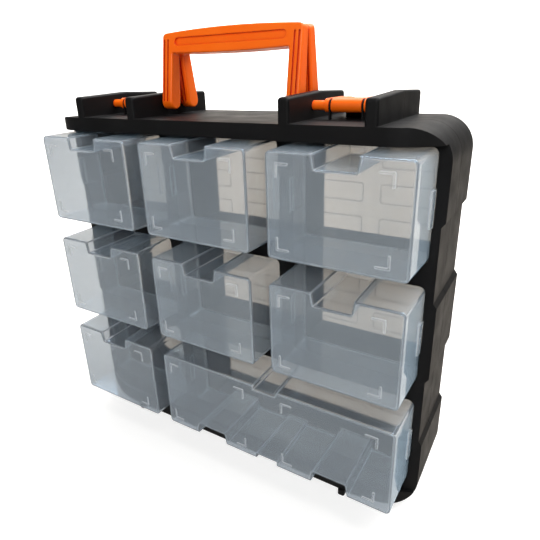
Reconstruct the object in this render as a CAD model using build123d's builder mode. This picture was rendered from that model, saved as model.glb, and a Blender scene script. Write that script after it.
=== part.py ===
"""Screw organizer box: a hinged case with eight bins that pass through its front panel.

Millimetres, +Z up. The box stands on its feet at Z = 0 and its front faces -Y. The origin is at the
centre of the object's box, on the ground.
"""
import os
from math import asin, cos, radians, sin, tan

from build123d import *

# Case
case_width = 300.0
case_height = 259.5
case_depth = 80.4
corner_radius = 20.0
wall = 2.2
split_depth = 45.0
split_gap = 0.3
foot_height = 3.5
root_depth = 1.1

# Side recesses, two on each side
recess_depth = 2.2
recess_height = 46.7
recess_step = 3.1
recess_rise = 51.0

# Front panel and the brims that stand forward of it
panel_setback = 20.6
panel_thickness = 2.4
top_brim_straight = 120.0
brim_lip = 2.4
top_brim_band = 9.7
bottom_brim_band = 12.0
bottom_brim_setback = 8.0
bottom_brim_straight = 105.0

# Bins
bin_lead = 15.0
bin_width = 85.6
bin_height = 64.4
bin_wall = 1.2
bin_draft = 1.0
bin_corner = 4.0
bin_edge = 1.6
bin_clearance = 0.35
column_pitch = 98.7
row_pitch = 81.0
row_rise = 3.9

# Rim of a bin, and the collar that it rests on
collar_end = 34.9
collar_wall = 1.8
flange_gap = 0.3
flange_thickness = 1.6
flange_reach = 1.5
flange_corner = 5.0

# Finger channel, centre notch and small features of a bin
channel_top_width = 27.0
channel_floor_width = 24.0
channel_depth = 8.5
channel_corner = 1.8
notch_width = 17.0
notch_depth = 3.5
rib_height = 0.5
rib_width = 1.1
rib_length = 8.2
rib_left_inset = 7.4
rib_right_inset = 11.0
rib_end_inset = 6.9
tab_height = 21.5
tab_length = 4.6
tab_reach = 1.0
tab_root = 0.6
tab_gap = 0.3
tab_clearance = 0.7

# Rear window, its frame and the dividers in front of it
window_border = 8.0
window_thickness = 2.0
window_corner = 13.0
window_clearance = 0.15
ledge_width = 5.0
ledge_thickness = 1.6
divider = 3.0
pad_width = 45.0
pad_height = 13.4
pad_rise = 0.5
pad_corner = 2.0
pad_column_pitch = 58.0
pad_row_pitch = 25.0
pad_columns = 5
pad_rows = 9

# Fins on the top
fin_outer = 111.8
fin_inner = 60.2
fin_width = 7.4
fin_height = 16.0
fin_front_height = 14.3
fin_rear_height = 14.6
fin_round = 1.6
fin_nose = 2.2

# Handle halves
handle_half_width = 55.4
leg_width = 9.0
leg_radius = 5.2
grip_thickness = 7.3
pivot_rise = 9.5
pivot_spread = 10.0
handle_lead = 2.0
grip_low = 31.2
grip_height = 15.8
grip_crown = 2.0
grip_belly = 1.0
handle_corner = 3.0
handle_inner_corner = 3.5
handle_edge = 1.1
handle_gap = 0.3
groove_width = 1.3
groove_depth = 1.5
groove_low = -0.5
groove_top_margin = 4.0
groove_shares = (0.24, 0.59)
slot_height = 5.4
slot_half_length = 44.3
stub_radius = 2.5
stub_depth = 3.0
bore_clearance = 0.06

# Latches
latch_depth = 32.5
latch_rise = 8.0
core_radius = 2.85
barrel_radius = 4.0
barrel_half_width = 13.7
ear_spread = 10.2
ear_thickness = 1.0
ear_radius = 3.7
ear_side_gap = 0.3
ear_post_length = 2.5
lever_reach = 22.0
lever_thickness = 2.6
lever_rise = 4.0
tooth_length = 2.6
tooth_gap = 0.35
dish_width = 13.0
dish_depth = 1.2
lever_round = 0.8
lever_root = 2.0
catch_length = 3.0
catch_height = 3.0
catch_half_width = 8.0
catch_depth = 49.0

# Hinge at the bottom
hinge_x = 85.0
knuckle_radius = 3.2
knuckle_outer = 12.0
knuckle_inner = 16.0
knuckle_gap = 0.4
knuckle_relief = 1.2
web_length = 9.6
pin_radius = 1.5
pin_clearance = 0.05
pin_overhang = 0.5
pin_end_gap = 0.3

# Feet
foot_x = 100.0
front_foot_width = 5.0
front_foot_start = 6.0
front_foot_length = 14.0
rear_foot_width = 14.0
rear_foot_length = 9.0
rear_foot_margin = 3.0
foot_corner = 1.25

# Places along the depth
front_y = -(bin_lead + case_depth) / 2
brim_y = front_y + bin_lead
panel_y = brim_y + panel_setback
split_y = brim_y + split_depth
rear_y = brim_y + case_depth
front_shell_end = split_y - split_gap / 2
rear_shell_start = split_y + split_gap / 2
collar_y = brim_y + collar_end
flange_y = collar_y + flange_gap
rim_y = flange_y + flange_thickness
window_front_y = rear_y - pad_rise - window_thickness

# Places along the height
floor_z = foot_height
top_z = foot_height + case_height
middle_z = foot_height + case_height / 2

# A bin widens towards its rim
bin_front_y = front_y + rib_height
bin_length = rim_y - bin_front_y


def spread_at(y):
    """How much wider than its front a bin is on each side, at depth y."""
    return (y - bin_front_y) * tan(radians(bin_draft))


opening_growth = spread_at(collar_y) + bin_clearance
flange_growth = opening_growth + flange_reach

# Axes of the latches, the handle halves and the hinge pins
latch_x = (fin_outer + fin_inner) / 2
latch_y = brim_y + latch_depth
latch_z = top_z + latch_rise
handle_middle_y = split_y - handle_lead
handle_front_y = handle_middle_y - pivot_spread
handle_rear_y = handle_middle_y + pivot_spread
handle_z = top_z + pivot_rise
pin_half_length = knuckle_inner / 2 + knuckle_gap + knuckle_outer + pin_overhang

column_x = {"left": -column_pitch, "centre": 0.0, "right": column_pitch}
row_z = {"top": row_rise + row_pitch, "middle": row_rise, "bottom": row_rise - row_pitch}
double_width = bin_width + column_pitch
double_x = column_pitch / 2

single_bins = [(row, column) for row in ("top", "middle") for column in column_x]
single_bins.append(("bottom", "left"))


def case_plane(y, x=0.0, z=0.0):
    """A plane across the case at depth y, whose normal faces the front."""
    return Plane(origin=(x, y, middle_z + z), x_dir=(1, 0, 0), z_dir=(0, -1, 0))


def side_plane(x, y=0.0, z=0.0):
    """A plane along the case at x, with local x along +Y and local y along +Z."""
    return Plane(origin=(x, y, z), x_dir=(0, 1, 0), z_dir=(1, 0, 0))


def case_outline(inset=0.0, mode=Mode.ADD):
    """Rounded outline of the case with the two recesses on each side."""
    half_width = case_width / 2 - inset
    RectangleRounded(2 * half_width, case_height - 2 * inset, corner_radius - inset, mode=mode)
    cut = Mode.SUBTRACT if mode == Mode.ADD else Mode.ADD
    floor_half = recess_height / 2 + inset / 2
    mouth_half = floor_half + recess_step
    for side in (-1, 1):
        for level in (-recess_rise, recess_rise):
            with BuildLine() as recess_line:
                Polyline(
                    (side * half_width, level - mouth_half),
                    (side * (half_width - recess_depth), level - floor_half),
                    (side * (half_width - recess_depth), level + floor_half),
                    (side * half_width, level + mouth_half),
                    close=True,
                )
            make_face(recess_line.edges(), mode=cut)


def bin_places():
    """Centre and width of each bin, as x, z and front width."""
    places = [(column_x[column], row_z[row], bin_width) for row, column in single_bins]
    places.append((double_x, row_z["bottom"], double_width))
    return places


def bin_rectangles(growth, corner, mode=Mode.ADD):
    """A rounded rectangle round each bin, larger than its front by growth on each side."""
    for x, z, width in bin_places():
        with Locations((x, z)):
            RectangleRounded(width + 2 * growth, bin_height + 2 * growth, corner, mode=mode)


def tab_notches():
    """Reliefs that let the side tabs of the bins through the panel."""
    reach = spread_at(panel_y) + tab_reach + bin_clearance
    for x, z, width in bin_places():
        with Locations((x, z)):
            Rectangle(width + 2 * reach, tab_height + 2 * tab_clearance)


def brim_plan(straight, setback, inset=0.0):
    """Plan of a brim: straight in front, swept back to the panel at the corners."""
    across = case_width / 2 - straight
    back = panel_setback - setback
    sweep = (across**2 + back**2) / (2 * back)
    front = brim_y + setback
    end = panel_y + panel_thickness
    with Locations((-straight, front + sweep), (straight, front + sweep)):
        Circle(sweep - inset)
    with Locations((0, front + inset)):
        Rectangle(2 * straight, sweep, align=(Align.CENTER, Align.MIN))
    with Locations((0, front + inset)):
        Rectangle(
            2 * case_width,
            end - front - inset,
            align=(Align.CENTER, Align.MIN),
            mode=Mode.INTERSECT,
        )


def brim_part(straight, setback, band, level):
    """One brim with its down-turned or up-turned lip, level is 1 for the top and -1 for the bottom."""
    with BuildPart() as brim:
        with BuildSketch(Plane.XY):
            brim_plan(straight, setback)
        extrude(amount=top_z)
        with BuildSketch(case_plane(panel_y + panel_thickness)):
            case_outline()
        extrude(amount=case_depth, mode=Mode.INTERSECT)
        edge_z = middle_z + level * (case_height / 2 - band)
        split(bisect_by=Plane.XY.offset(edge_z), keep=Keep.TOP if level > 0 else Keep.BOTTOM)
    with BuildPart() as pocket:
        with BuildSketch(Plane.XY):
            brim_plan(straight, setback, brim_lip)
        extrude(amount=top_z)
        with BuildSketch(case_plane(panel_y)):
            case_outline(wall)
        extrude(amount=case_depth, mode=Mode.INTERSECT)
    return brim.part - pocket.part


def fin_shape(x):
    """A whole fin at x, from the front of the brim to the rear face, highest at the parting line."""
    with BuildPart() as fin:
        with BuildSketch(side_plane(x - fin_width / 2, brim_y, top_z)):
            with BuildLine():
                Polyline(
                    (0, -root_depth),
                    (0, fin_front_height),
                    (split_depth, fin_height),
                    (case_depth, fin_rear_height),
                    (case_depth, -root_depth),
                    close=True,
                )
            make_face()
        extrude(amount=fin_width)
        ends = edges().filter_by(Axis.X).filter_by(lambda edge: edge.center().Z > top_z)
        fillet([ends.sort_by(Axis.Y)[0], ends.sort_by(Axis.Y)[-1]], fin_nose)
        upper = edges().filter_by(lambda edge: edge.center().Z > top_z)
        outer = upper.filter_by(lambda edge: abs(edge.center().X - x) > fin_width / 2 - fin_round)
        fillet(outer, fin_round)
    return fin.part


def fins_between(start_y, end_y):
    """The parts of all four fins between two depths."""
    with BuildPart() as fins:
        for side in (-1, 1):
            for place in (fin_outer, fin_inner):
                add(fin_shape(side * place))
        with BuildSketch(Plane.XY.offset(top_z - wall)):
            with Locations((0, (start_y + end_y) / 2)):
                Rectangle(case_width, end_y - start_y)
        extrude(amount=fin_height + 2 * wall, mode=Mode.INTERSECT)
    return fins.part


def fin_bores(axis_y, axis_z, shaft_radius, fin_faces):
    """Blind bores along X for a shaft, each from the face of a fin into that fin."""
    with BuildPart() as bores:
        for x, direction in fin_faces:
            with BuildSketch(side_plane(x, axis_y, axis_z)):
                Circle(shaft_radius + bore_clearance)
            extrude(amount=direction * stub_depth)
    return bores.part


handle_faces = [(-(fin_inner - fin_width / 2), -1), (fin_inner - fin_width / 2, 1)]
latch_faces = []
for fin_side in (-1, 1):
    latch_faces.append((fin_side * (fin_inner + fin_width / 2), -fin_side))
    latch_faces.append((fin_side * (fin_outer - fin_width / 2), fin_side))


def knuckles(is_front):
    """Hinge knuckles of one shell, as spans along X: start and length."""
    spans = []
    for side in (-1, 1):
        centre = side * hinge_x
        inner_start = centre - knuckle_inner / 2
        if is_front:
            spans.append((inner_start - knuckle_gap - knuckle_outer, knuckle_outer))
            spans.append((centre + knuckle_inner / 2 + knuckle_gap, knuckle_outer))
        else:
            spans.append((inner_start, knuckle_inner))
    return spans


def cylinders_on_hinge(spans, radius, grow=0.0):
    """Cylinders on the hinge axis over the given spans, each longer by grow at both ends."""
    with BuildPart() as cylinders:
        for start, length in spans:
            with BuildSketch(side_plane(start - grow, split_y, floor_z)):
                Circle(radius)
            extrude(amount=length + 2 * grow)
    return cylinders.part


def pin_bores():
    """The bores that the hinge pins run in."""
    spans = [(side * hinge_x - pin_half_length, 2 * pin_half_length) for side in (-1, 1)]
    return cylinders_on_hinge(spans, pin_radius + pin_clearance, pin_end_gap)


def knuckle_reliefs(spans):
    """Room that one shell leaves round the knuckles of the other."""
    return cylinders_on_hinge(spans, knuckle_radius + knuckle_relief, knuckle_gap)


def knuckle_webs(spans, direction):
    """Webs that tie knuckles to the bottom wall of their shell."""
    with BuildPart() as webs:
        for start, length in spans:
            with BuildSketch(side_plane(start, split_y, floor_z)):
                with BuildLine():
                    Polyline(
                        (0, -knuckle_radius),
                        (direction * web_length, 0),
                        (direction * web_length, wall),
                        (0, wall),
                        close=True,
                    )
                make_face()
            extrude(amount=length)
    return webs.part


def foot_block(x, start_y, width, length):
    """A foot under the case."""
    with BuildPart() as foot:
        with BuildSketch(Plane.XY):
            with Locations((x, start_y + length / 2)):
                RectangleRounded(width, length, foot_corner)
        extrude(amount=foot_height + root_depth)
    return foot.part


def ear_part(x):
    """A latch ear: a thin plate with the bore that carries the latch's core."""
    with BuildPart() as ear:
        with BuildSketch(side_plane(x - ear_thickness / 2, latch_y, latch_z)):
            Circle(ear_radius)
            with Locations((-ear_radius, 0)):
                Rectangle(ear_post_length, latch_rise + root_depth, align=(Align.MIN, Align.MAX))
            Circle(core_radius + bore_clearance, mode=Mode.SUBTRACT)
        extrude(amount=ear_thickness)
    return ear.part


with BuildPart() as front_shell:
    with BuildSketch(case_plane(front_shell_end)):
        case_outline()
        case_outline(wall, Mode.SUBTRACT)
    extrude(amount=front_shell_end - panel_y)
    with BuildSketch(case_plane(panel_y + panel_thickness)):
        case_outline()
    extrude(amount=panel_thickness)
    add(brim_part(top_brim_straight, 0.0, top_brim_band, 1))
    add(brim_part(bottom_brim_straight, bottom_brim_setback, bottom_brim_band, -1))
    with BuildSketch(case_plane(collar_y)):
        bin_rectangles(opening_growth + collar_wall, bin_corner + collar_wall)
    extrude(amount=collar_y - panel_y)
    with BuildSketch(case_plane(collar_y)):
        bin_rectangles(opening_growth, bin_corner)
        tab_notches()
    extrude(amount=collar_y - panel_y, mode=Mode.SUBTRACT)
    add(fins_between(brim_y, front_shell_end))
    for latch_side in (-1, 1):
        for ear_offset in (-ear_spread, ear_spread):
            add(ear_part(latch_side * latch_x + ear_offset))
    add(knuckle_reliefs(knuckles(False)), mode=Mode.SUBTRACT)
    add(knuckle_webs(knuckles(True), -1))
    add(cylinders_on_hinge(knuckles(True), knuckle_radius))
    add(pin_bores(), mode=Mode.SUBTRACT)
    for foot_side in (-1, 1):
        front_foot_y = brim_y + front_foot_start
        add(foot_block(foot_side * foot_x, front_foot_y, front_foot_width, front_foot_length))
    add(fin_bores(handle_front_y, handle_z, stub_radius, handle_faces), mode=Mode.SUBTRACT)
    add(fin_bores(latch_y, latch_z, core_radius, latch_faces), mode=Mode.SUBTRACT)


def divider_lines():
    """Dividers between the cells behind the bins."""
    half_width = case_width / 2 - recess_depth - root_depth
    half_height = case_height / 2 - root_depth
    lower = row_rise - row_pitch / 2
    upper = row_rise + row_pitch / 2
    with Locations((0, lower), (0, upper)):
        Rectangle(2 * half_width, divider)
    with Locations((-column_pitch / 2, 0)):
        Rectangle(divider, 2 * half_height)
    with Locations((column_pitch / 2, lower)):
        Rectangle(divider, half_height - lower, align=(Align.CENTER, Align.MIN))


with BuildPart() as rear_shell:
    with BuildSketch(case_plane(rear_y)):
        case_outline()
        case_outline(wall, Mode.SUBTRACT)
    extrude(amount=rear_y - rear_shell_start)
    with BuildSketch(case_plane(rear_y)):
        case_outline(root_depth)
    extrude(amount=rear_y - window_front_y + ledge_thickness)
    with BuildSketch(case_plane(rear_y)):
        RectangleRounded(
            case_width - 2 * (window_border + ledge_width),
            case_height - 2 * (window_border + ledge_width),
            window_corner - ledge_width,
        )
    extrude(amount=rear_y - window_front_y + ledge_thickness, mode=Mode.SUBTRACT)
    with BuildSketch(case_plane(window_front_y)):
        divider_lines()
    extrude(amount=window_front_y - rear_shell_start)
    with BuildSketch(case_plane(rear_y)):
        RectangleRounded(case_width - 2 * window_border, case_height - 2 * window_border, window_corner)
    extrude(amount=rear_y - window_front_y, mode=Mode.SUBTRACT)
    add(fins_between(rear_shell_start, rear_y))
    for latch_side in (-1, 1):
        with BuildSketch(Plane.XY.offset(top_z - root_depth)):
            with Locations((latch_side * latch_x, brim_y + catch_depth)):
                Rectangle(2 * catch_half_width, catch_length, align=(Align.CENTER, Align.MIN))
        extrude(amount=catch_height + root_depth)
    add(knuckle_reliefs(knuckles(True)), mode=Mode.SUBTRACT)
    add(knuckle_webs(knuckles(False), 1))
    add(cylinders_on_hinge(knuckles(False), knuckle_radius))
    add(pin_bores(), mode=Mode.SUBTRACT)
    for foot_side in (-1, 1):
        rear_foot_y = rear_y - rear_foot_margin - rear_foot_length
        add(foot_block(foot_side * foot_x, rear_foot_y, rear_foot_width, rear_foot_length))
    add(fin_bores(handle_rear_y, handle_z, stub_radius, handle_faces), mode=Mode.SUBTRACT)

with BuildPart() as rear_window:
    with BuildSketch(case_plane(rear_y - pad_rise)):
        RectangleRounded(
            case_width - 2 * (window_border + window_clearance),
            case_height - 2 * (window_border + window_clearance),
            window_corner - window_clearance,
        )
    extrude(amount=window_thickness)
    with BuildSketch(case_plane(rear_y)):
        with GridLocations(pad_column_pitch, pad_row_pitch, pad_columns, pad_rows):
            RectangleRounded(pad_width, pad_height, pad_corner)
    extrude(amount=pad_rise)


def bin_profile(width, channels, notches):
    """Section of a bin at its rim: channels and notches are (x, level) pairs, level 1 is the top."""
    grow = spread_at(rim_y)
    half_width = width / 2 + grow
    half_height = bin_height / 2 + grow
    Rectangle(2 * half_width, 2 * half_height)
    cuts = [(x, level, channel_top_width, channel_floor_width, channel_depth) for x, level in channels]
    cuts += [(x, level, notch_width, notch_width, notch_depth) for x, level in notches]
    for x, level, top_width, floor_width, depth in cuts:
        half_top = top_width / 2 - grow
        half_floor = floor_width / 2 - grow
        with BuildLine() as cut_line:
            Polyline(
                (x - half_top, level * half_height),
                (x - half_floor, level * (half_height - depth)),
                (x + half_floor, level * (half_height - depth)),
                (x + half_top, level * half_height),
                close=True,
            )
        make_face(cut_line.edges(), mode=Mode.SUBTRACT)
    return half_width


def bin_part(x, z, width, channels, notches, rib_centres):
    """A bin: a cup open at the back, with its rim flange, side tabs and L-shaped ribs."""
    tab_end = panel_y - tab_gap
    tab_start = tab_end - tab_length
    tab_base = (width - bin_wall) / 2
    with BuildPart() as cup:
        with BuildSketch(case_plane(rim_y, x, z)) as section:
            half_width = bin_profile(width, channels, notches)
            outer = section.vertices().filter_by(lambda v: abs(v.X) > half_width - bin_corner)
            inner = section.vertices().filter_by(lambda v: abs(v.X) < half_width - bin_corner)
            fillet(outer, bin_corner)
            fillet(inner, channel_corner)
        extrude(amount=bin_length, taper=bin_draft)
        fillet(faces().sort_by(Axis.Y)[0].edges(), bin_edge)
        with BuildSketch(case_plane(rim_y, x, z)):
            RectangleRounded(width + 2 * flange_growth, bin_height + 2 * flange_growth, flange_corner)
        extrude(amount=flange_thickness)
        with BuildSketch(case_plane(rim_y, x, z)):
            add(section.sketch_local)
            offset(amount=-bin_wall, mode=Mode.REPLACE)
        extrude(amount=bin_length - bin_wall, taper=bin_draft, mode=Mode.SUBTRACT)
        with BuildSketch(case_plane(bin_front_y, x, z)):
            for centre in rib_centres:
                rib_corners(centre)
        extrude(amount=rib_height)
        with BuildSketch(Plane.XY.offset(middle_z + z - tab_height / 2)):
            for side in (-1, 1):
                with BuildLine() as tab_line:
                    Polyline(
                        (x + side * tab_base, tab_start),
                        (x + side * (width / 2 + spread_at(tab_start) + tab_root), tab_start),
                        (x + side * (width / 2 + spread_at(tab_end) + tab_reach), tab_end),
                        (x + side * tab_base, tab_end),
                        close=True,
                    )
                make_face(tab_line.edges())
        extrude(amount=tab_height)
    return cup.part


def rib_corners(centre):
    """Four L-shaped ribs near the corners of one bin front."""
    corner_z = bin_height / 2 - rib_end_inset
    arm = (rib_length - rib_width) / 2
    for side, inset in ((-1, rib_left_inset), (1, rib_right_inset)):
        corner_x = bin_width / 2 - inset
        for level in (-1, 1):
            with Locations((centre + side * (corner_x - arm), level * corner_z)):
                SlotOverall(rib_length, rib_width)
            with Locations((centre + side * corner_x, level * (corner_z - arm))):
                SlotOverall(rib_length, rib_width, rotation=90)


bins = {}
for row, column in single_bins:
    bins[f"bin_{row}_{column}"] = bin_part(column_x[column], row_z[row], bin_width, [(0, 1)], [], [0])
half_pitch = column_pitch / 2
bins["bin_bottom_double"] = bin_part(
    double_x,
    row_z["bottom"],
    double_width,
    [(-half_pitch, -1), (half_pitch, -1)],
    [(0, 1), (0, -1)],
    [-half_pitch, half_pitch],
)

grip_top = grip_low + grip_height
handle_lean = asin((pivot_spread - (grip_thickness + handle_gap) / 2) / grip_top)
leg_taper = asin((leg_radius - grip_thickness / 2) / grip_top)


def handle_plane(turn, rise=0.0):
    """A plane on the front handle half, turned about its pivot and moved out along its normal."""
    return Plane(
        origin=(0, handle_front_y, handle_z),
        x_dir=(1, 0, 0),
        z_dir=(0, -cos(turn), sin(turn)),
    ).offset(rise)


def handle_outline():
    """Front view of a handle half: two legs and an arched grip."""
    inner = handle_half_width - leg_width
    top_end = grip_top - grip_crown
    low_end = grip_low + grip_belly
    foot = -2 * leg_radius
    with BuildLine() as line:
        Line((-handle_half_width, foot), (-handle_half_width, top_end))
        ThreePointArc((-handle_half_width, top_end), (0, grip_top), (handle_half_width, top_end))
        Polyline((handle_half_width, top_end), (handle_half_width, foot), (inner, foot), (inner, low_end))
        ThreePointArc((inner, low_end), (0, grip_low), (-inner, low_end))
        Polyline((-inner, low_end), (-inner, foot), (-handle_half_width, foot))
    make_face(line.edges())


def leg_grooves():
    """Two shallow grooves along each leg."""
    length = grip_top - grip_crown - groove_top_margin - groove_low
    for side in (-1, 1):
        for share in groove_shares:
            with Locations((side * (handle_half_width - share * leg_width), groove_low + length / 2)):
                SlotOverall(length, groove_width, rotation=90)


with BuildPart() as handle_front:
    lean_up = (0, sin(handle_lean), cos(handle_lean))
    across_lean = (0, cos(handle_lean), -sin(handle_lean))
    pivot_point = (-handle_half_width, handle_front_y, handle_z)
    with BuildSketch(Plane(origin=pivot_point, x_dir=across_lean, z_dir=(1, 0, 0))):
        Circle(leg_radius)
        with BuildLine() as leg_line:
            Polyline(
                (-leg_radius * cos(leg_taper), leg_radius * sin(leg_taper)),
                (-grip_thickness / 2, grip_top),
                (grip_thickness / 2, grip_top),
                (leg_radius * cos(leg_taper), leg_radius * sin(leg_taper)),
                close=True,
            )
        make_face(leg_line.edges())
    extrude(amount=2 * handle_half_width)
    with BuildSketch(handle_plane(handle_lean)) as front_view:
        handle_outline()
        points = front_view.vertices().filter_by(lambda v: v.Y > 0)
        outer_points = points.filter_by(lambda v: abs(v.X) > handle_half_width - leg_width / 2)
        inner_points = points.filter_by(lambda v: abs(v.X) < handle_half_width - leg_width / 2)
        fillet(outer_points, handle_corner)
        fillet(inner_points, handle_inner_corner)
    extrude(amount=4 * leg_radius, both=True, mode=Mode.INTERSECT)
    seams = edges().filter_by(Axis.X).filter_by(lambda edge: edge.length < 2 * leg_width)
    fillet(edges() - seams, handle_edge)
    for face_turn, direction in ((handle_lean + leg_taper, 1), (handle_lean - leg_taper, -1)):
        with BuildSketch(handle_plane(face_turn, direction * leg_radius)):
            leg_grooves()
        extrude(amount=-direction * groove_depth, mode=Mode.SUBTRACT)
    with BuildSketch(handle_plane(handle_lean + leg_taper, leg_radius)):
        with Locations((0, (grip_low + grip_top) / 2)):
            SlotOverall(2 * slot_half_length, slot_height)
    extrude(amount=-groove_depth, mode=Mode.SUBTRACT)
    stub_end = fin_inner - fin_width / 2 + stub_depth - handle_gap
    for side in (-1, 1):
        stub_start = side * (handle_half_width - leg_width / 2)
        with BuildSketch(side_plane(stub_start, handle_front_y, handle_z)):
            Circle(stub_radius)
        extrude(amount=side * (stub_end - abs(stub_start)))

with BuildPart() as handle_rear:
    mirror(handle_front.part, about=Plane.XZ.offset(-handle_middle_y))

latch_core_end = (fin_outer - fin_inner - fin_width) / 2 + stub_depth - handle_gap


def latch_part(x):
    """A latch: its core runs between two fins, and its lever reaches back over the parting line."""
    tooth_bottom = catch_height + tooth_gap - latch_rise
    under = lever_rise - lever_thickness
    with BuildPart() as latch:
        with BuildSketch(side_plane(x - barrel_half_width, latch_y, latch_z)):
            Circle(barrel_radius)
            with BuildLine() as lever_line:
                Polyline(
                    (0, barrel_radius),
                    (lever_reach, lever_rise),
                    (lever_reach, tooth_bottom),
                    (lever_reach - tooth_length, tooth_bottom),
                    (lever_reach - tooth_length, under),
                    (lever_root, under - lever_round),
                    (0, 0),
                    close=True,
                )
            make_face(lever_line.edges())
        extrude(amount=2 * barrel_half_width)
        lever_end = latch_y + lever_reach
        cross_edges = edges().filter_by(Axis.X)
        fillet(cross_edges.filter_by(lambda edge: edge.center().Y > lever_end - lever_round), lever_round)
        dish_radius = (dish_width**2 / 4 + dish_depth**2) / (2 * dish_depth)
        with BuildSketch(Plane(origin=(x, lever_end, latch_z), x_dir=(1, 0, 0), z_dir=(0, -1, 0))):
            with Locations((0, lever_rise - dish_depth + dish_radius)):
                Circle(dish_radius)
        extrude(amount=lever_reach / 2, mode=Mode.SUBTRACT)
        for ear_offset in (-ear_spread, ear_spread):
            slot_start = x + ear_offset - ear_thickness / 2 - ear_side_gap
            with BuildSketch(side_plane(slot_start, latch_y, latch_z)):
                Circle(ear_radius + ear_side_gap)
            extrude(amount=ear_thickness + 2 * ear_side_gap, mode=Mode.SUBTRACT)
        with BuildSketch(side_plane(x - latch_core_end, latch_y, latch_z)):
            Circle(core_radius)
        extrude(amount=2 * latch_core_end)
    return latch.part


def hinge_pin_part(x):
    """A steel pin through the three knuckles of one hinge."""
    with BuildPart() as pin:
        with BuildSketch(side_plane(x - pin_half_length, split_y, floor_z)):
            Circle(pin_radius)
        extrude(amount=2 * pin_half_length)
    return pin.part


os.makedirs("parts", exist_ok=True)
pieces = {
    "front_shell": front_shell.part,
    "rear_shell": rear_shell.part,
    "rear_window": rear_window.part,
    "handle_front": handle_front.part,
    "handle_rear": handle_rear.part,
    "latch_left": latch_part(-latch_x),
    "latch_right": latch_part(latch_x),
    "hinge_pin_left": hinge_pin_part(-hinge_x),
    "hinge_pin_right": hinge_pin_part(hinge_x),
}
pieces.update(bins)
for name, piece in pieces.items():
    piece.label = name
    export_step(piece, f"parts/{name}.step")
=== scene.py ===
"""Looks of the screw organizer box: materials, floor, light and camera. Metres, +Z up."""
from math import cos, radians, sin

import bpy
from mathutils import Matrix, Vector

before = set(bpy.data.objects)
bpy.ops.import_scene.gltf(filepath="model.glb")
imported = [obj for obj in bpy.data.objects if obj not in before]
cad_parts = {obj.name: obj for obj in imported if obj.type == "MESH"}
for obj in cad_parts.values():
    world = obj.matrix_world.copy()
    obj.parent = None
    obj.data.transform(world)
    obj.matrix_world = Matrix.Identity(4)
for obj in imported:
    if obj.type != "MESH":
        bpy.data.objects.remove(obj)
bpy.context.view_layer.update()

BINS = [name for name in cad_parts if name.startswith("bin_")]
WHITE = (1, 1, 1, 1)

# The camera fitted to the photograph. The lens is measured in pixels of the square picture.
CAMERA_PLACE = (0.19839, -0.27572, 0.29181)
CAMERA_YAW = radians(31.9)
CAMERA_PITCH = radians(21.32)
CAMERA_ROLL = radians(-1.83)
PICTURE_SIZE = 540
FOCAL_LENGTH = 479.24
LENS_CENTRE_X = 267.22
LENS_CENTRE_Y = 257.05
SENSOR_WIDTH = 36

# The floor runs on behind the object, bends up and becomes a wall.
FLOOR_FRONT = -1.2
FLOOR_HALF_WIDTH = 2.0
FLOOR_TURN = radians(32)
WALL_DISTANCE = 1.6
WALL_HEIGHT = 2.0
BEND_RADIUS = 0.5
BEND_STEPS = 16


# Nodes that the materials share

def new_material(name):
    """An empty node material, its node tree and its principled shader."""
    material = bpy.data.materials.new(name)
    material.use_nodes = True
    tree = material.node_tree
    shader = tree.nodes["Principled BSDF"]
    return material, tree, shader


def noise(tree, scale, detail, stretch=(1, 1, 1)):
    """Noise in object space, scale in features per metre."""
    place = tree.nodes.new("ShaderNodeTexCoord")
    mapping = tree.nodes.new("ShaderNodeMapping")
    mapping.inputs["Scale"].default_value = stretch
    tree.links.new(place.outputs["Object"], mapping.inputs["Vector"])
    texture = tree.nodes.new("ShaderNodeTexNoise")
    texture.inputs["Scale"].default_value = scale
    texture.inputs["Detail"].default_value = detail
    tree.links.new(mapping.outputs["Vector"], texture.inputs["Vector"])
    return texture.outputs["Fac"]


def remap(tree, value, low, high, from_low=0, from_high=1):
    """A value brought from one range to the range low to high."""
    node = tree.nodes.new("ShaderNodeMapRange")
    node.inputs["From Min"].default_value = from_low
    node.inputs["From Max"].default_value = from_high
    node.inputs["To Min"].default_value = low
    node.inputs["To Max"].default_value = high
    tree.links.new(value, node.inputs["Value"])
    return node.outputs["Result"]


def vary(tree, texture, low=0, high=1):
    """Noise spread over the range low to high."""
    return remap(tree, texture, low, high, from_low=0.3, from_high=0.7)


def blend(tree, factor, first, second):
    """A colour between first and second, each of them a colour or a node's output."""
    node = tree.nodes.new("ShaderNodeMix")
    node.data_type = "RGBA"
    for socket, colour in (("A", first), ("B", second)):
        if isinstance(colour, tuple):
            node.inputs[socket].default_value = (*colour, 1)
        else:
            tree.links.new(colour, node.inputs[socket])
    tree.links.new(factor, node.inputs["Factor"])
    return node.outputs["Result"]


def round_edges(tree, radius):
    """A normal that softens sharp edges, radius in metres."""
    node = tree.nodes.new("ShaderNodeBevel")
    node.samples = 4
    node.inputs["Radius"].default_value = radius
    return node.outputs["Normal"]


def add_bump(tree, shader, height, distance, strength, normal=None):
    """Surface relief, distance in metres, on top of a normal where one is given."""
    node = tree.nodes.new("ShaderNodeBump")
    node.inputs["Distance"].default_value = distance
    node.inputs["Strength"].default_value = strength
    tree.links.new(height, node.inputs["Height"])
    if normal:
        tree.links.new(normal, node.inputs["Normal"])
    tree.links.new(node.outputs["Normal"], shader.inputs["Normal"])


def openness(tree, distance):
    """How open a point is, from 0 deep in a groove to 1 on a free surface."""
    node = tree.nodes.new("ShaderNodeAmbientOcclusion")
    node.samples = 8
    node.inputs["Distance"].default_value = distance
    return node.outputs["AO"]


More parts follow.
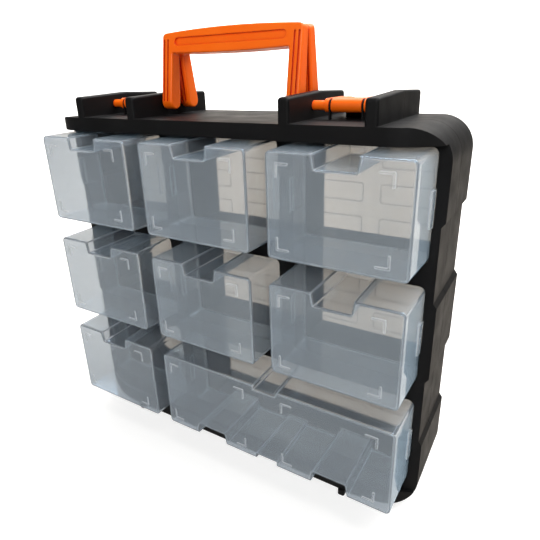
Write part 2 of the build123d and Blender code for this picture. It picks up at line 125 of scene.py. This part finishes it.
def edge_mask(tree, radius, sharp, flat):
    """1 along edges and tight curves, 0 on flat surfaces.

    The softened normal's share in the true one is sharp or less on an edge, and flat or more off it.
    """
    soft = round_edges(tree, radius)
    true = tree.nodes.new("ShaderNodeNewGeometry")
    share = tree.nodes.new("ShaderNodeVectorMath")
    share.operation = "DOT_PRODUCT"
    tree.links.new(soft, share.inputs[0])
    tree.links.new(true.outputs["True Normal"], share.inputs[1])
    return remap(tree, share.outputs["Value"], 1, 0, from_low=sharp, from_high=flat)


# Materials

def black_plastic():
    """Near-black moulded plastic with a fine grain and faint handling marks."""
    material, tree, shader = new_material("black_shell")
    wear = vary(tree, noise(tree, scale=28, detail=4))
    colour = blend(tree, wear, (0.0042, 0.0042, 0.0045), (0.0075, 0.0075, 0.008))
    roughness = vary(tree, noise(tree, scale=60, detail=5), 0.44, 0.58)
    tree.links.new(colour, shader.inputs["Base Color"])
    tree.links.new(roughness, shader.inputs["Roughness"])
    shader.inputs["Specular IOR Level"].default_value = 0.14
    grain = noise(tree, scale=2400, detail=2)
    edges = round_edges(tree, radius=0.0008)
    add_bump(tree, shader, grain, distance=0.00012, strength=0.35, normal=edges)
    return material


def orange_plastic():
    """Satin orange moulded plastic, with painted shade that makes it redder and darker in its grooves.
    """
    material, tree, shader = new_material("orange_trim")
    flow = vary(tree, noise(tree, scale=45, detail=4))
    open_colour = blend(tree, flow, (0.95, 0.132, 0.002), (0.98, 0.155, 0.003))
    # Painted shade: ambient occlusion blends the orange into a darker red deep in grooves and creases.
    groove_shade_colour = (0.74, 0.05, 0.002)
    unshaded = remap(tree, openness(tree, distance=0.003), 0, 1, from_low=0.35, from_high=0.85)
    colour = blend(tree, unshaded, groove_shade_colour, open_colour)
    roughness = vary(tree, noise(tree, scale=90, detail=4), 0.34, 0.44)
    tree.links.new(colour, shader.inputs["Base Color"])
    tree.links.new(roughness, shader.inputs["Roughness"])
    shader.inputs["Specular IOR Level"].default_value = 0.36
    grain = noise(tree, scale=1500, detail=2)
    edges = round_edges(tree, radius=0.0004)
    add_bump(tree, shader, grain, distance=0.00008, strength=0.3, normal=edges)
    return material


def set_clear(tree, shader, edge, flat_colour, painted_edge_colour, flat_clearness, painted_edge_clearness):
    """Makes a shader clear and faintly wavy, with a painted colour and a lower clearness along the
    edges; the bins use them for a painted highlight and the window for painted shade.
    """
    # The edge colour and edge clearness paint light or shade along the edges, as each caller gives
    # them.
    colour = blend(tree, edge, flat_colour, painted_edge_colour)
    roughness = vary(tree, noise(tree, scale=90, detail=3), 0.03, 0.07)
    tree.links.new(colour, shader.inputs["Base Color"])
    tree.links.new(roughness, shader.inputs["Roughness"])
    clearness = remap(tree, edge, flat_clearness, painted_edge_clearness)
    tree.links.new(clearness, shader.inputs["Transmission Weight"])
    add_bump(tree, shader, noise(tree, scale=35, detail=2), distance=0.0001, strength=0.2)


def clear_bin():
    """Milky translucent plastic of the bins, bluish, with a painted highlight along the edges."""
    material, tree, shader = new_material("clear_bin")
    flow = vary(tree, noise(tree, scale=20, detail=4, stretch=(1, 1, 0.4)))
    flat_colour = blend(tree, flow, (0.79, 0.855, 0.92), (0.84, 0.90, 0.96))
    # Painted highlight: the edges get a lighter, less clear colour in place of the light that rounded
    # edges catch.
    painted_edge_colour = (0.92, 0.95, 0.98)
    edge = edge_mask(tree, radius=0.0012, sharp=0.82, flat=0.99)
    set_clear(tree, shader, edge, flat_colour, painted_edge_colour, flat_clearness=0.87, painted_edge_clearness=0.42)
    shader.inputs["IOR"].default_value = 1.58
    shader.inputs["Specular Tint"].default_value = (0.5, 0.76, 1.0, 1)
    shader.inputs["Sheen Weight"].default_value = 0.4
    shader.inputs["Sheen Roughness"].default_value = 0.35
    shader.inputs["Sheen Tint"].default_value = (0.55, 0.8, 1.0, 1)
    return material


def clear_window():
    """Clear plastic of the rear window, warmer than the bins, with painted shade as darker lines along
    the edges of its pads.
    """
    material, tree, shader = new_material("clear_window")
    flow = vary(tree, noise(tree, scale=16, detail=4))
    flat_colour = blend(tree, flow, (0.46, 0.425, 0.38), (0.52, 0.485, 0.44))
    # Painted shade: the pad edges get a darker, less clear colour in place of the dark lines that
    # refraction draws there.
    painted_edge_colour = (0.22, 0.215, 0.21)
    edge = edge_mask(tree, radius=0.0014, sharp=0.9, flat=0.998)
    set_clear(tree, shader, edge, flat_colour, painted_edge_colour, flat_clearness=0.93, painted_edge_clearness=0.4)
    shader.inputs["IOR"].default_value = 1.35
    return material


def drawn_steel():
    """Steel wire of the hinge pins."""
    material, tree, shader = new_material("pin_steel")
    lines = noise(tree, scale=900, detail=2, stretch=(0.02, 1, 1))
    colour = blend(tree, vary(tree, lines), (0.42, 0.42, 0.43), (0.6, 0.6, 0.61))
    tree.links.new(colour, shader.inputs["Base Color"])
    tree.links.new(vary(tree, lines, 0.25, 0.4), shader.inputs["Roughness"])
    shader.inputs["Metallic"].default_value = 1.0
    return material


def dress(names, material):
    """Gives CAD nodes a material."""
    for name in names:
        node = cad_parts[name]
        for slot in node.material_slots:
            slot.link = "OBJECT"
            slot.material = material


dress(["front_shell", "rear_shell"], black_plastic())
dress(["handle_front", "handle_rear", "latch_left", "latch_right"], orange_plastic())
dress(["hinge_pin_left", "hinge_pin_right"], drawn_steel())
dress(["rear_window"], clear_window())
dress(BINS, clear_bin())


# Floor, light and camera

def glow(tree, path, plain, seen, behind):
    """How bright a surface is by itself.

    plain is for the light that it casts on things, seen for where the camera looks straight at it,
    and behind for where it is looked at through clear plastic.
    """
    total = tree.nodes.new("ShaderNodeMath")
    total.operation = "ADD"
    direct = remap(tree, path.outputs["Is Camera Ray"], plain, seen)
    through = remap(tree, path.outputs["Is Transmission Ray"], 0, behind - plain)
    tree.links.new(direct, total.inputs[0])
    tree.links.new(through, total.inputs[1])
    return total.outputs["Value"]


def pale_floor():
    """Matte off-white, dimmer where it is mirrored or looked at through clear plastic."""
    material, tree, shader = new_material("pale_floor")
    path = tree.nodes.new("ShaderNodeLightPath")
    patches = vary(tree, noise(tree, scale=3, detail=2))
    tone = blend(tree, patches, (0.48, 0.47, 0.455), (0.52, 0.51, 0.495))
    mirrored_tone = (0.28, 0.245, 0.205)
    colour = blend(tree, path.outputs["Is Glossy Ray"], tone, mirrored_tone)
    strength = glow(tree, path, plain=0.20, seen=0.68, behind=0.35)
    tree.links.new(colour, shader.inputs["Base Color"])
    tree.links.new(strength, shader.inputs["Emission Strength"])
    shader.inputs["Roughness"].default_value = 0.9
    shader.inputs["Emission Color"].default_value = WHITE
    return material


def backdrop():
    """A pale floor that sweeps up into a wall behind the object."""
    bend_start = WALL_DISTANCE - BEND_RADIUS
    profile = [(FLOOR_FRONT, 0.0), (bend_start, 0.0)]
    for step in range(1, BEND_STEPS + 1):
        turn = radians(90) * step / BEND_STEPS
        y = bend_start + BEND_RADIUS * sin(turn)
        z = BEND_RADIUS - BEND_RADIUS * cos(turn)
        profile.append((y, z))
    profile.append((WALL_DISTANCE, WALL_HEIGHT))
    points = [(side * FLOOR_HALF_WIDTH, y, z) for y, z in profile for side in (-1, 1)]
    faces = [(2 * i, 2 * i + 1, 2 * i + 3, 2 * i + 2) for i in range(len(profile) - 1)]
    mesh = bpy.data.meshes.new("backdrop")
    mesh.from_pydata(points, [], faces)
    mesh.polygons.foreach_set("use_smooth", [True] * len(faces))
    mesh.materials.append(pale_floor())
    floor = bpy.data.objects.new("backdrop", mesh)
    bpy.context.collection.objects.link(floor)
    floor.rotation_euler = (0, 0, FLOOR_TURN)


def surround():
    """Faint even light from all round, white where the camera looks straight at it."""
    world = bpy.data.worlds.new("surround")
    world.use_nodes = True
    tree = world.node_tree
    background = tree.nodes["Background"]
    path = tree.nodes.new("ShaderNodeLightPath")
    strength = glow(tree, path, plain=0.12, seen=1.0, behind=0.55)
    tree.links.new(strength, background.inputs["Strength"])
    background.inputs["Color"].default_value = WHITE
    bpy.context.scene.world = world


def area_light(name, place, target, size, power):
    """A square soft light at place that faces target, power in watts."""
    data = bpy.data.lights.new(name, "AREA")
    data.size = size
    data.energy = power
    light = bpy.data.objects.new(name, data)
    bpy.context.collection.objects.link(light)
    light.location = place
    aim = Vector(target) - Vector(place)
    light.rotation_euler = aim.to_track_quat("-Z", "Y").to_euler()


def photo_camera():
    """The camera that fits the photograph: place, turn and lens."""
    flat_reach = cos(CAMERA_PITCH)
    forward = Vector((-sin(CAMERA_YAW) * flat_reach, cos(CAMERA_YAW) * flat_reach, -sin(CAMERA_PITCH)))
    level = Vector((cos(CAMERA_YAW), sin(CAMERA_YAW), 0))
    plumb = level.cross(forward)
    right = level * cos(CAMERA_ROLL) + plumb * sin(CAMERA_ROLL)
    up = plumb * cos(CAMERA_ROLL) - level * sin(CAMERA_ROLL)
    data = bpy.data.cameras.new("camera")
    data.sensor_width = SENSOR_WIDTH
    data.lens = SENSOR_WIDTH * FOCAL_LENGTH / PICTURE_SIZE
    data.shift_x = (PICTURE_SIZE / 2 - LENS_CENTRE_X) / PICTURE_SIZE
    data.shift_y = (LENS_CENTRE_Y - PICTURE_SIZE / 2) / PICTURE_SIZE
    data.clip_start = 0.01
    camera = bpy.data.objects.new("camera", data)
    bpy.context.collection.objects.link(camera)
    rotation = Matrix((right, up, -forward)).transposed().to_4x4()
    camera.matrix_world = Matrix.Translation(CAMERA_PLACE) @ rotation
    bpy.context.scene.camera = camera


backdrop()
surround()
area_light("top_light", place=(0.35, 0.5, 1.4), target=(0, 0.1, 0.1), size=1.5, power=42)
area_light("back_light", place=(-0.6, 0.9, 1.1), target=(-0.5, 1.5, 0.4), size=1.4, power=36)
area_light("front_light", place=(0.45, -1.4, 1.0), target=(0, 0, 0.15), size=0.8, power=17)
photo_camera()
bpy.context.scene.view_settings.view_transform = "Standard"
